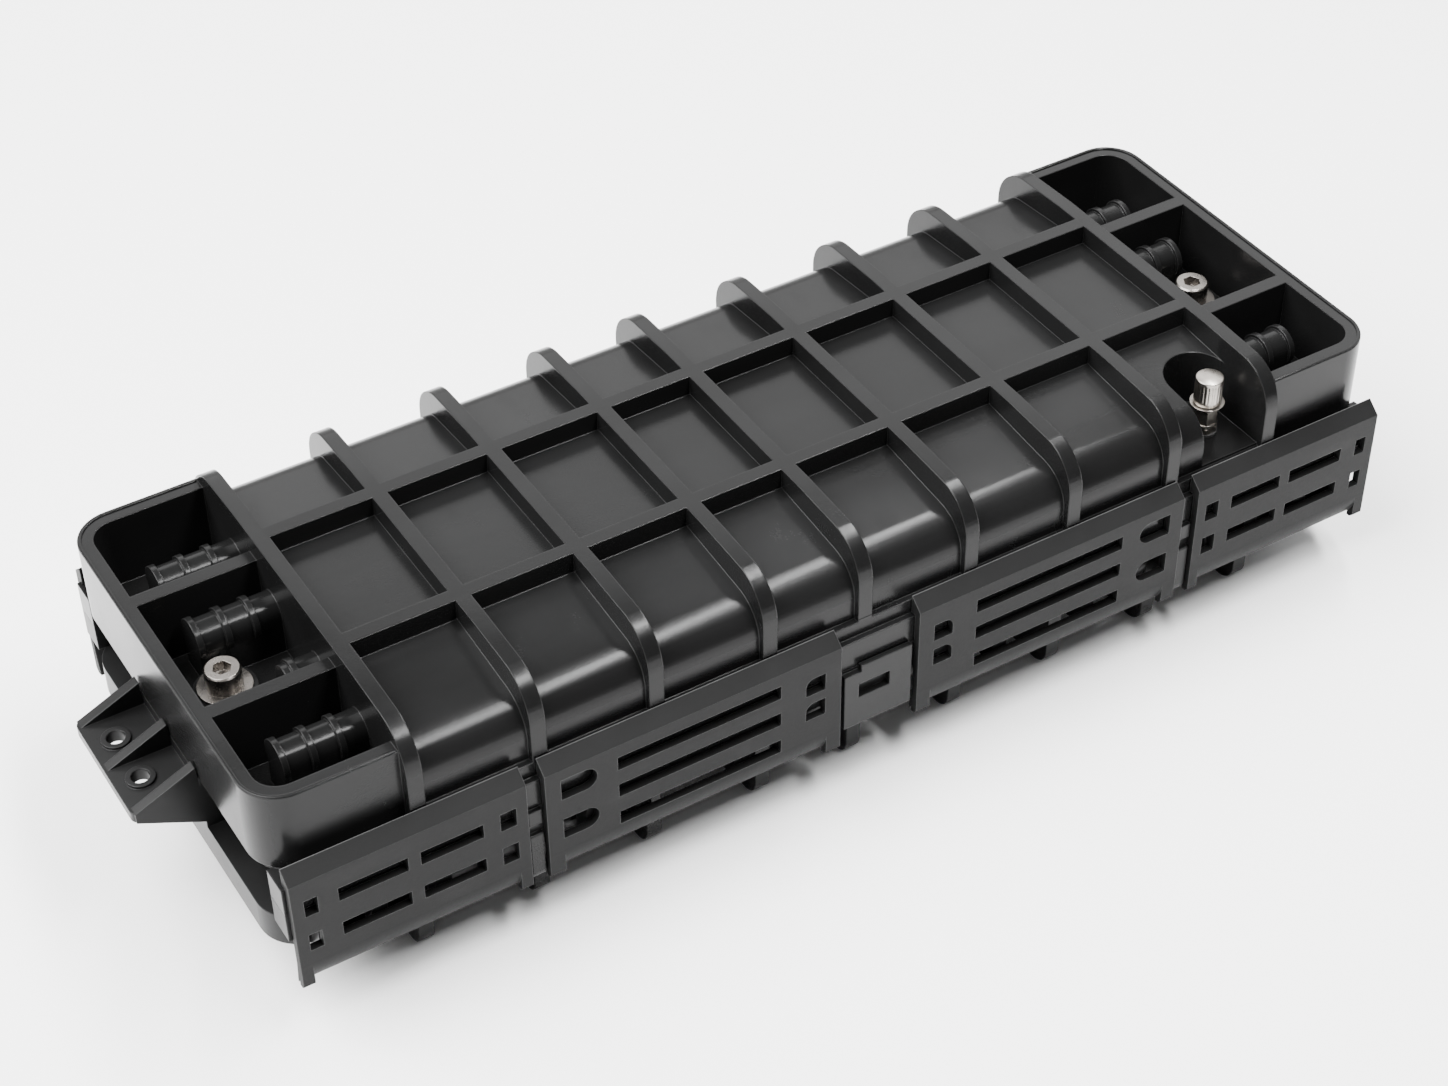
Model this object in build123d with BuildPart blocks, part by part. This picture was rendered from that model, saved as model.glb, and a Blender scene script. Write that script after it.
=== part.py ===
from build123d import *
import math
import os

# Horizontal fibre splice closure, in millimetres.
# X runs along the closure, -Y is the long side with the four latches that the photograph shows,
# +Z is up. The origin is under the middle of the closure, on the surface it stands on.

# Overall sizes
total_height = 106.0
parting_height = 54.0
shell_length = 460.0

# Cover and base shells
wall = 3.5
cover_half_width = 82.0
base_half_width = 79.0
crown_half_width = 33.0
rib_height = 8.0
shoulder_radius = 14.0
shoulder_slope = 17.0
flange_half_width = 87.0
flange_thickness = 12.0
flange_rail_height = 6.0
flange_inner = 76.0
flange_end_inset = 2.0

# Ribs
rib_thickness = 5.8
rib_pitch = 45.0
narrow_pitch = 39.0
narrow_bay = 3
rib_count = 9
rib_reach = 84.6
rib_corner_radius = 8.0
long_rib_offset = 31.5

# End frames with their open pockets
frame_half_width = 80.5
frame_wall = 5.7
frame_corner_radius = 15.0
pocket_floor = 3.0
neck_length = 38.0
base_frame_depth = 13.0

# Cable ports and their ribbed barrels
port_spacing = 100.0
port_radius = 9.5
port_bore_overrun = 4.0
barrel_radius = 6.7
barrel_axis_height = 84.0
barrel_length = 31.0
inner_barrel_offset = 18.3
ring_count = 3
ring_pitch = 10.2
ring_width = 2.2
ring_height = 1.2

# Cover bolts
bolt_from_end = 22.5
bolt_radius = 4.0
bolt_clearance = 0.5
bolt_head_radius = 6.5
bolt_head_height = 8.0
bolt_socket_width = 6.0
bolt_socket_depth = 4.0
washer_radius = 9.7
washer_thickness = 1.6
bolt_boss_radius = 11.3
bolt_boss_height = 8.5
insert_radius = 5.6
insert_length = 16.0

# Gasket
gasket_width = 4.0
gasket_height = 4.0
gasket_from_edge = 3.0
gasket_end_offset = 5.0

# Latches
latch_face = 90.4
latch_web = 3.1
latch_top = 69.4
latch_bottom = 20.4
latch_foot_turn = 31.5
latch_foot_bulge = 1.2
latch_bar_bottom = 20.0
latch_bar_chamfer = 1.5
latch_hook_rise = 4.6
latch_hook_reach = 85.0
latch_gap = 0.4
mid_latch_inner = 16.4
mid_latch_outer = 134.0
mid_latch_bar = 6.0
end_latch_inner = 140.8
end_latch_outer = 226.7
end_latch_bar = 4.3
pin_offset = 84.0
pin_height = 24.2
pin_end_gap = 3.0
pin_radius = 1.5
pin_clearance = 0.1
knuckle_radius = 2.9
knuckle_length = 12.0
lug_length = 6.0
lug_gap = 0.5

# Openings of the latches, each (start, end, height): along the latch from its inner end,
# or from its outer end, and their levels down from the top of the face
long_window = (24.9, 89.8, 6.0)
long_window_drops = (8.5, 21.3, 34.5)
outer_hole = (6.0, 15.2, 9.2)
outer_hole_drops = (9.3, 27.8)
inner_hole = (6.6, 14.6, 7.6)
inner_hole_drops = (12.4, 24.2)
inner_hole_corner = 3.5
end_windows = ((4.3, 10.3, 8.0), (16.6, 39.7, 6.0), (44.3, 69.4, 6.0), (76.7, 81.5, 7.5))
end_window_drops = (12.2, 28.4)

# Keepers of the base, in the gaps between the latches
keeper_half = 14.2
keeper_face = 89.4
keeper_bottom = 27.6
keeper_top = 52.7
keeper_lip_top = 55.4
keeper_lip_start = -7.2
keeper_window = (-8.2, 4.9, 40.8, 47.2)
keeper_window_depth = 2.6
post_half = 2.5
post_face = 88.6
post_boss_radius = 3.6
post_tabs = ((36.3, 42.5), (47.2, 53.6))

# Mounting ears
ear_reach = 24.2
ear_half_width = 26.0
ear_level = 60.7
ear_thickness = 4.0
ear_hole_radius = 3.3
ear_hole_spacing = 21.6
ear_hole_inset = 9.2
ear_gusset = 4.0
ear_gusset_rise = 10.0
ear_web_drop = 12.0
ear_gap = 0.5
ear_corner_radius = 3.0
ear_ring_radius = 5.2
ear_ring_height = 1.0

# Pressure valve
valve_x = 162.0
valve_y = -65.5
valve_seat = 73.0
valve_pocket_radius = 13.0
valve_pocket_back = 5.5
valve_pocket_wall = 2.2
valve_floor = 6.0
valve_stem_radius = 3.0
valve_foot_height = 3.0
valve_foot_margin = 2.0
valve_washer_radius = 5.0
valve_washer_thickness = 1.2
valve_nut_width = 8.6
valve_nut_height = 2.4
valve_collar_radius = 4.6
valve_collar_height = 1.6
valve_hex_width = 8.0
valve_hex_height = 6.2
valve_flare_radius = 6.6
valve_flare_height = 2.6
valve_cap_radius = 5.8
valve_cap_height = 11.0
valve_cap_bore_depth = 8.5
valve_cap_round = 0.8
valve_cap_gap = 0.3
valve_thread_radius = 3.8
valve_thread_length = 8.0
valve_bore_radius = 2.2
valve_bore_depth = 6.0
valve_core_length = 3.0
valve_pin_radius = 0.8
valve_pin_length = 2.6
valve_fit = 0.15

# Splice trays
tray_length = 220.0
tray_width = 104.0
tray_height = 10.0
tray_wall = 1.6
tray_count = 3
carrier_thickness = 2.5
carrier_margin = 8.0
standoff_radius = 5.0
standoff_height = 8.0
tray_screw_radius = 2.0
comb_length = 44.0
comb_width = 20.0
comb_height = 6.0
comb_slots = 6
lid_thickness = 1.5
strap_width = 16.0
strap_thickness = 1.0

# Cable clamps
clamp_from_port = 18.0
clamp_width = 12.0
clamp_inner_radius = 9.0
clamp_thickness = 1.2
clamp_foot = 9.0
clamp_screw_radius = 1.9
clamp_screw_length = 9.0
anchor_radius = 4.0
anchor_height = 12.0
anchor_from_clamp = 20.0
anchor_level = 34.0
anchor_bore = 1.6

# Values worked out from the sizes above
cover_height = total_height - parting_height
crown_height = cover_height - rib_height
base_depth = parting_height
base_crown = base_depth - rib_height
bays = [narrow_pitch if n == narrow_bay else rib_pitch for n in range(rib_count - 1)]
ribs_span = sum(bays)
rib_places = [-ribs_span / 2 + sum(bays[:n]) for n in range(rib_count)]
half_length = shell_length / 2
block_half = ribs_span / 2 + rib_thickness / 2
chamber_half = ribs_span / 2 - rib_thickness / 2
neck_end = block_half + neck_length
flange_top = parting_height + flange_thickness
flange_bottom = parting_height - flange_thickness
frame_top = parting_height + crown_height
bolt_x = half_length - bolt_from_end
boss_top = flange_top + bolt_boss_height
port_y = port_spacing / 2
latch_inside = latch_face - latch_web
latch_foot_tip = pin_offset + pin_radius + latch_gap
pocket_x_valve = rib_places[-1] - rib_thickness / 2 - valve_pocket_radius
pocket_y_valve = valve_y + valve_pocket_back


def section(half, radius, crown, up, inset=0.0):
    """Closed half-shell section in the YZ plane, crown height measured from the parting plane."""
    r = radius - inset
    side = half - inset
    top = crown - inset
    turn = 90.0 - shoulder_slope
    end_y = side - r + r * math.cos(math.radians(turn))
    end_z = top - (end_y - crown_half_width) * math.tan(math.radians(shoulder_slope))
    centre_z = end_z - r * math.sin(math.radians(turn))
    mid = math.radians(turn / 2)
    mid_y = side - r + r * math.cos(mid)
    mid_z = centre_z + r * math.sin(mid)
    level = {name: parting_height + up * value
             for name, value in (("foot", 0.0), ("wall", centre_z), ("mid", mid_z), ("end", end_z),
                                 ("top", top))}
    with BuildLine() as outline:
        Polyline((-side, level["wall"]), (-side, level["foot"]), (side, level["foot"]),
                 (side, level["wall"]))
        ThreePointArc((side, level["wall"]), (mid_y, level["mid"]), (end_y, level["end"]))
        Polyline((end_y, level["end"]), (crown_half_width, level["top"]),
                 (-crown_half_width, level["top"]), (-end_y, level["end"]))
        ThreePointArc((-end_y, level["end"]), (-mid_y, level["mid"]), (-side, level["wall"]))
    add(outline.line)
    make_face()


def rib_section(reach, foot, tip, radius):
    """Transverse rib, seen along X, from its foot to its rounded tip."""
    height = abs(tip - foot)
    with Locations((0, (foot + tip) / 2)):
        Rectangle(2 * reach, height)
    corners = vertices().sort_by(Axis.Y)
    fillet(corners[-2:] if tip > foot else corners[:2], radius=radius)


def save(piece, label):
    piece.part.label = label
    export_step(piece.part, f"parts/{label}.step")


os.makedirs("parts", exist_ok=True)

# Valve pocket block, which follows the cover's outer form
valve_block_half = valve_pocket_radius + valve_pocket_wall
with BuildPart() as valve_block:
    with BuildSketch(Plane.YZ.offset(pocket_x_valve)):
        section(cover_half_width, shoulder_radius, crown_height, 1)
    extrude(amount=valve_block_half, both=True)
    block_back = pocket_y_valve + valve_block_half
    with BuildSketch(Plane.XY.offset(valve_seat - valve_floor)):
        with Locations((pocket_x_valve, (block_back - cover_half_width) / 2)):
            Rectangle(2 * valve_block_half, block_back + cover_half_width)
    extrude(amount=total_height, mode=Mode.INTERSECT)

# Cover
with BuildPart() as upper_housing:
    with BuildSketch(Plane.YZ):
        section(cover_half_width, shoulder_radius, crown_height, 1)
    extrude(amount=block_half, both=True)
    for place in rib_places:
        with BuildSketch(Plane.YZ.offset(place)):
            rib_section(rib_reach, flange_top, total_height, rib_corner_radius)
        extrude(amount=rib_thickness / 2, both=True)
    with BuildSketch(Plane.XY.offset(frame_top - wall)):
        with Locations((0, long_rib_offset), (0, -long_rib_offset)):
            Rectangle(ribs_span, rib_thickness)
    extrude(amount=rib_height + wall)
    with BuildSketch(Plane.XY.offset(parting_height)):
        for side in (-1, 1):
            with Locations((0, side * (flange_half_width + flange_inner) / 2)):
                Rectangle(shell_length - 2 * flange_end_inset, flange_half_width - flange_inner)
            with Locations((side * (neck_end + block_half) / 2, 0)):
                Rectangle(neck_length, 2 * flange_inner)
    extrude(amount=flange_thickness)
    with BuildSketch(Plane.XY.offset(flange_top)):
        Rectangle(2 * block_half, 2 * rib_reach)
    extrude(amount=flange_rail_height)
    with BuildSketch(Plane.XY.offset(flange_top)):
        RectangleRounded(shell_length, 2 * frame_half_width, frame_corner_radius)
        Rectangle(ribs_span, 2 * frame_half_width, mode=Mode.SUBTRACT)
    extrude(amount=frame_top - flange_top)
    pocket_length = half_length - frame_wall - block_half
    pocket_x = block_half + pocket_length / 2
    side_pocket = frame_half_width - frame_wall - long_rib_offset - rib_thickness / 2
    side_pocket_y = long_rib_offset + rib_thickness / 2 + side_pocket / 2
    with BuildSketch(Plane.XY.offset(flange_top + pocket_floor)):
        for end in (-1, 1):
            with Locations((end * pocket_x, 0)):
                Rectangle(pocket_length, 2 * long_rib_offset - rib_thickness)
            for side in (-1, 1):
                with Locations((end * pocket_x, side * side_pocket_y)):
                    Rectangle(pocket_length, side_pocket)
        RectangleRounded(shell_length - 2 * frame_wall, 2 * (frame_half_width - frame_wall),
                         frame_corner_radius - frame_wall, mode=Mode.INTERSECT)
    extrude(amount=total_height, mode=Mode.SUBTRACT)
    # Bosses under the bolt heads
    with BuildSketch(Plane.XY.offset(flange_top)):
        with Locations((bolt_x, 0), (-bolt_x, 0)):
            Circle(bolt_boss_radius)
    extrude(amount=bolt_boss_height)
    # Ribbed barrels in the pockets
    for end in (-1, 1):
        for offset_y in (-port_y, -inner_barrel_offset, inner_barrel_offset, port_y):
            with BuildSketch(Plane.YZ.offset(end * block_half)):
                with Locations((offset_y, barrel_axis_height)):
                    Circle(barrel_radius)
                with Locations((offset_y, (barrel_axis_height + flange_top) / 2)):
                    Rectangle(2 * barrel_radius, barrel_axis_height - flange_top)
            extrude(amount=end * barrel_length)
            for n in range(ring_count):
                place = block_half + barrel_length - ring_width / 2 - n * ring_pitch
                with BuildSketch(Plane.YZ.offset(end * place)):
                    with Locations((offset_y, barrel_axis_height)):
                        Circle(barrel_radius + ring_height)
                extrude(amount=ring_width / 2, both=True)
    # Chamber
    with BuildSketch(Plane.YZ):
        section(cover_half_width, shoulder_radius, crown_height, 1, wall)
    extrude(amount=chamber_half, both=True, mode=Mode.SUBTRACT)
    # Valve pocket
    add(valve_block.part)
    with BuildSketch(Plane.XY.offset(valve_seat)):
        with Locations((pocket_x_valve, pocket_y_valve)):
            Circle(valve_pocket_radius)
        with Locations((pocket_x_valve, pocket_y_valve - cover_half_width / 2)):
            Rectangle(2 * valve_pocket_radius, cover_half_width)
    extrude(amount=total_height, mode=Mode.SUBTRACT)
    with BuildSketch(Plane.XY.offset(valve_seat)):
        with Locations((valve_x, valve_y)):
            Circle(valve_stem_radius + valve_fit)
    extrude(amount=-2 * valve_floor, mode=Mode.SUBTRACT)
    # Bolt holes, ports and gasket groove
    with BuildSketch(Plane.XY.offset(parting_height)):
        with Locations((bolt_x, 0), (-bolt_x, 0)):
            Circle(bolt_radius + bolt_clearance)
    extrude(amount=cover_height, mode=Mode.SUBTRACT)
    for end in (-1, 1):
        with BuildSketch(Plane.YZ.offset(end * (chamber_half - port_bore_overrun))):
            with Locations((port_y, parting_height), (-port_y, parting_height)):
                Circle(port_radius)
        extrude(amount=end * (neck_end - chamber_half + 2 * port_bore_overrun), mode=Mode.SUBTRACT)
    gasket_outer_x = block_half + gasket_end_offset + gasket_width
    gasket_outer_y = flange_half_width - gasket_from_edge
    with BuildSketch(Plane.XY.offset(parting_height)):
        Rectangle(2 * gasket_outer_x, 2 * gasket_outer_y)
        Rectangle(2 * (gasket_outer_x - gasket_width), 2 * (gasket_outer_y - gasket_width),
                  mode=Mode.SUBTRACT)
    extrude(amount=gasket_height / 2, mode=Mode.SUBTRACT)
save(upper_housing, "upper_housing")

# Base
lug_places = []
latch_spans = [(-end_latch_outer, -end_latch_inner), (-mid_latch_outer, -mid_latch_inner),
               (mid_latch_inner, mid_latch_outer), (end_latch_inner, end_latch_outer)]


def knuckle_places(span):
    """Middles of the two knuckles of a latch."""
    quarter = (span[1] - span[0]) / 4
    return [span[0] + quarter, span[1] - quarter]


lug_reach = knuckle_length / 2 + lug_gap + lug_length / 2
post_x = (mid_latch_outer + end_latch_inner) / 2
for span in latch_spans:
    for knuckle in knuckle_places(span):
        lug_places += [knuckle - lug_reach, knuckle + lug_reach]

# Pads of the cable clamps and of the strength member anchors, cut to the base's inside
clamp_x = chamber_half - clamp_from_port
clamp_pad_top = parting_height - clamp_inner_radius
clamp_pad_half = clamp_inner_radius + clamp_foot
clamp_screw_offset = clamp_inner_radius + clamp_thickness + clamp_foot / 2
anchor_x = clamp_x - anchor_from_clamp
with BuildPart() as clamp_pads:
    with BuildSketch(Plane.XY):
        with GridLocations(2 * clamp_x, port_spacing, 2, 2):
            Rectangle(clamp_width + 4.0, 2 * clamp_pad_half)
    extrude(amount=clamp_pad_top)
    with BuildSketch(Plane.XY):
        with GridLocations(2 * anchor_x, port_spacing, 2, 2):
            Circle(anchor_radius + 3.0)
    extrude(amount=anchor_level)
    with BuildSketch(Plane.XY.offset(clamp_pad_top)):
        with GridLocations(2 * clamp_x, port_spacing, 2, 2):
            with Locations((0, clamp_screw_offset), (0, -clamp_screw_offset)):
                Circle(clamp_screw_radius)
    extrude(amount=-clamp_screw_length, mode=Mode.SUBTRACT)
    with BuildSketch(Plane.YZ):
        section(base_half_width, shoulder_radius, base_crown, -1, wall / 2)
    extrude(amount=chamber_half, both=True, mode=Mode.INTERSECT)

with BuildPart() as lower_housing:
    with BuildSketch(Plane.YZ):
        section(base_half_width, shoulder_radius, base_crown, -1)
    extrude(amount=block_half, both=True)
    for place in rib_places:
        with BuildSketch(Plane.YZ.offset(place)):
            rib_section(base_half_width, flange_bottom, 0.0, rib_corner_radius)
        extrude(amount=rib_thickness / 2, both=True)
    with BuildSketch(Plane.XY):
        with Locations((0, long_rib_offset), (0, -long_rib_offset)):
            Rectangle(ribs_span, rib_thickness)
    extrude(amount=rib_height + wall)
    with BuildSketch(Plane.XY.offset(parting_height)):
        for side in (-1, 1):
            with Locations((0, side * (flange_half_width + flange_inner) / 2)):
                Rectangle(shell_length - 2 * flange_end_inset, flange_half_width - flange_inner)
            with Locations((side * (neck_end + block_half) / 2, 0)):
                Rectangle(neck_length, 2 * flange_inner)
    extrude(amount=-flange_thickness)
    # End frames under the flange, open below
    with BuildSketch(Plane.XY.offset(flange_bottom)):
        RectangleRounded(shell_length, 2 * frame_half_width, frame_corner_radius)
        Rectangle(ribs_span, 2 * frame_half_width, mode=Mode.SUBTRACT)
    extrude(amount=-base_frame_depth)
    with BuildSketch(Plane.XY.offset(flange_bottom - pocket_floor)):
        for end in (-1, 1):
            with Locations((end * pocket_x, 0)):
                Rectangle(pocket_length, 2 * long_rib_offset - rib_thickness)
            for side in (-1, 1):
                with Locations((end * pocket_x, side * side_pocket_y)):
                    Rectangle(pocket_length, side_pocket)
        RectangleRounded(shell_length - 2 * frame_wall, 2 * (frame_half_width - frame_wall),
                         frame_corner_radius - frame_wall, mode=Mode.INTERSECT)
    extrude(amount=-base_frame_depth, mode=Mode.SUBTRACT)
    # Bosses that hold the threaded inserts
    with BuildSketch(Plane.XY.offset(flange_bottom - base_frame_depth)):
        with Locations((bolt_x, 0), (-bolt_x, 0)):
            Circle(bolt_boss_radius)
    extrude(amount=base_frame_depth)
    # Chamber
    with BuildSketch(Plane.YZ):
        section(base_half_width, shoulder_radius, base_crown, -1, wall)
    extrude(amount=chamber_half, both=True, mode=Mode.SUBTRACT)
    # Mounting ears on pedestals between the ports
    for end in (-1, 1):
        with BuildSketch(Plane.XY.offset(flange_bottom)):
            with Locations((end * (neck_end + half_length) / 2, 0)):
                Rectangle(half_length - neck_end, 2 * ear_half_width)
        extrude(amount=2 * flange_thickness - ear_gap)
        with BuildSketch(Plane.XY.offset(ear_level - ear_thickness)):
            with Locations((end * (half_length + ear_reach / 2), 0)):
                Rectangle(ear_reach, 2 * ear_half_width)
            corners = vertices().sort_by(Axis.X)
            fillet(corners[-2:] if end > 0 else corners[:2], radius=ear_corner_radius)
        extrude(amount=ear_thickness)
        with BuildSketch(Plane.XY.offset(ear_level)):
            with Locations((end * (half_length + ear_reach - ear_hole_inset), 0)):
                with GridLocations(1, ear_hole_spacing, 1, 2):
                    Circle(ear_ring_radius)
        extrude(amount=ear_ring_height)
        for offset_y in (-ear_half_width + ear_gusset / 2, 0.0, ear_half_width - ear_gusset / 2):
            with BuildSketch(Plane.XZ.offset(-offset_y)):
                root = end * (half_length + ear_gap)
                tip = end * (half_length + ear_reach - 1.0)
                with BuildLine():
                    Polyline((end * half_length, ear_level + ear_gap),
                             (root, ear_level + ear_gusset_rise),
                             (tip, ear_level),
                             (tip, ear_level - ear_thickness),
                             (end * half_length, ear_level - ear_thickness - ear_web_drop),
                             close=True)
                make_face()
            extrude(amount=ear_gusset / 2, both=True)
        with BuildSketch(Plane.XY.offset(ear_level - ear_thickness)):
            with Locations((end * (half_length + ear_reach - ear_hole_inset), 0)):
                with GridLocations(1, ear_hole_spacing, 1, 2):
                    Circle(ear_hole_radius)
        extrude(amount=ear_thickness + ear_ring_height, mode=Mode.SUBTRACT)
    # Hinge lugs of the latches
    for side in (-1, 1):
        for place in lug_places:
            with BuildSketch(Plane.YZ.offset(place)):
                with Locations((side * pin_offset, pin_height)):
                    Circle(knuckle_radius)
                inner = base_half_width - wall / 2
                with Locations((side * (pin_offset + knuckle_radius + inner) / 2,
                                (pin_height + flange_bottom) / 2)):
                    Rectangle(pin_offset + knuckle_radius - inner, flange_bottom - pin_height)
                with Locations((side * pin_offset, pin_height)):
                    Circle(pin_radius, mode=Mode.SUBTRACT)
            extrude(amount=lug_length / 2, both=True)
    # Keeper plates between the middle latches, with a lip beside the cover's flange
    for side in (-1, 1):
        low_x, high_x, low_z, high_z = keeper_window
        with BuildSketch(Plane.XZ.offset(-side * keeper_face)):
            with Locations((0, (keeper_bottom + keeper_top) / 2)):
                Rectangle(2 * keeper_half, keeper_top - keeper_bottom)
        extrude(amount=side * (keeper_face - flange_half_width + 1.0))
        with BuildSketch(Plane.XZ.offset(-side * keeper_face)):
            with Locations(((keeper_lip_start + keeper_half) / 2, (keeper_top + keeper_lip_top) / 2)):
                Rectangle(keeper_half - keeper_lip_start, keeper_lip_top - keeper_top)
        extrude(amount=side * (keeper_face - flange_half_width - latch_gap))
        with BuildSketch(Plane.XZ.offset(-side * keeper_face)):
            with Locations(((low_x + high_x) / 2, (low_z + high_z) / 2)):
                Rectangle(high_x - low_x, high_z - low_z)
        extrude(amount=side * keeper_window_depth, mode=Mode.SUBTRACT)
    # Posts between the middle and the end latches
    for side in (-1, 1):
        for place in (-post_x, post_x):
            with BuildSketch(Plane.YZ.offset(place)):
                with Locations((side * (base_half_width + flange_half_width) / 2,
                                (pin_height + flange_bottom) / 2)):
                    Rectangle(flange_half_width - base_half_width + wall, flange_bottom - pin_height)
                with Locations((side * (post_face - post_boss_radius), pin_height)):
                    Circle(post_boss_radius)
                for low_z, high_z in post_tabs:
                    with Locations((side * (post_face + base_half_width) / 2, (low_z + high_z) / 2)):
                        Rectangle(post_face - base_half_width, high_z - low_z)
            extrude(amount=post_half, both=True)
    # Standoffs of the tray carrier, pads of the clamps and anchors
    floor_level = parting_height - base_crown + wall
    standoff_places = GridLocations(tray_length - 20.0, 50.0, 2, 2)
    with BuildSketch(Plane.XY.offset(floor_level - wall / 2)):
        with standoff_places:
            Circle(standoff_radius)
    extrude(amount=standoff_height + wall / 2)
    with BuildSketch(Plane.XY.offset(floor_level + standoff_height)):
        with standoff_places:
            Circle(tray_screw_radius)
    extrude(amount=-standoff_height, mode=Mode.SUBTRACT)
    add(clamp_pads.part)
    # Insert bores, ports and gasket groove
    with BuildSketch(Plane.XY.offset(parting_height)):
        with Locations((bolt_x, 0), (-bolt_x, 0)):
            Circle(insert_radius)
    extrude(amount=-insert_length, mode=Mode.SUBTRACT)
    for end in (-1, 1):
        with BuildSketch(Plane.YZ.offset(end * (chamber_half - port_bore_overrun))):
            with Locations((port_y, parting_height), (-port_y, parting_height)):
                Circle(port_radius)
        extrude(amount=end * (neck_end - chamber_half + 2 * port_bore_overrun), mode=Mode.SUBTRACT)
    with BuildSketch(Plane.XY.offset(parting_height)):
        Rectangle(2 * gasket_outer_x, 2 * gasket_outer_y)
        Rectangle(2 * (gasket_outer_x - gasket_width), 2 * (gasket_outer_y - gasket_width),
                  mode=Mode.SUBTRACT)
    extrude(amount=-gasket_height / 2, mode=Mode.SUBTRACT)
save(lower_housing, "lower_housing")

# Gasket cord, in four lengths between the ports
gasket_cut = port_y + port_radius
for label, middle, size in (
        ("gasket_left", (-gasket_outer_x + gasket_width / 2, 0.0),
         (gasket_width, 2 * (port_y - port_radius))),
        ("gasket_right", (gasket_outer_x - gasket_width / 2, 0.0),
         (gasket_width, 2 * (port_y - port_radius)))):
    with BuildPart() as gasket_end:
        with BuildSketch(Plane.XY.offset(parting_height - gasket_height / 2)):
            with Locations(middle):
                Rectangle(*size)
        extrude(amount=gasket_height)
    save(gasket_end, label)

for label, side in (("gasket_front", -1), ("gasket_back", 1)):
    with BuildPart() as gasket_side:
        with BuildSketch(Plane.XY.offset(parting_height - gasket_height / 2)):
            with Locations((0, side * (gasket_outer_y + gasket_cut) / 2)):
                Rectangle(2 * gasket_outer_x, gasket_outer_y - gasket_cut)
            with Locations((0, side * (gasket_outer_y - gasket_width + gasket_cut) / 2)):
                Rectangle(2 * (gasket_outer_x - gasket_width),
                          gasket_outer_y - gasket_width - gasket_cut, mode=Mode.SUBTRACT)
        extrude(amount=gasket_height)
    save(gasket_side, label)


def latch_section(side):
    """Latch section seen along X: hook over the cover flange, outer web and curved foot."""
    outer = side * latch_face
    inner = side * latch_inside
    hook = side * latch_hook_reach
    tip = side * latch_foot_tip
    bend = side * ((latch_face + latch_foot_tip) / 2 + latch_foot_bulge)
    with BuildLine() as outline:
        Polyline((outer, latch_foot_turn), (outer, latch_top),
                 (hook, latch_top + latch_hook_rise), (hook, flange_top + latch_gap),
                 (inner, flange_top + latch_gap), (inner, latch_foot_turn),
                 ((inner + tip) / 2, (latch_foot_turn + latch_bottom) / 2),
                 (tip, latch_bottom + latch_bar_chamfer), (tip, latch_bottom))
        ThreePointArc((tip, latch_bottom),
                      (bend, (latch_foot_turn + latch_bottom - latch_foot_bulge) / 2),
                      (outer, latch_foot_turn))
    add(outline.line)
    make_face()


def end_bar_section(side):
    """Lower end of a latch's end bar, which runs on below the curved foot."""
    outer = side * latch_face
    inner = side * latch_inside
    with BuildLine() as outline:
        Polyline((inner, latch_foot_turn), (outer, latch_foot_turn),
                 (outer, latch_bar_bottom + latch_bar_chamfer),
                 (outer - side * latch_bar_chamfer, latch_bar_bottom), (inner, latch_bar_bottom),
                 close=True)
    add(outline.line)
    make_face()


def window_list(span, middle_latch):
    """Square openings of the web: x middle, z middle, width, height."""
    outward = 1 if span[0] > 0 else -1
    inner_end = span[0] if outward > 0 else span[1]
    rows = ([(long_window, long_window_drops)] if middle_latch
            else [(window, end_window_drops) for window in end_windows])
    return [(inner_end + outward * (start + stop) / 2, latch_top - drop, stop - start, tall)
            for (start, stop, tall), drops in rows for drop in drops]


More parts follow.
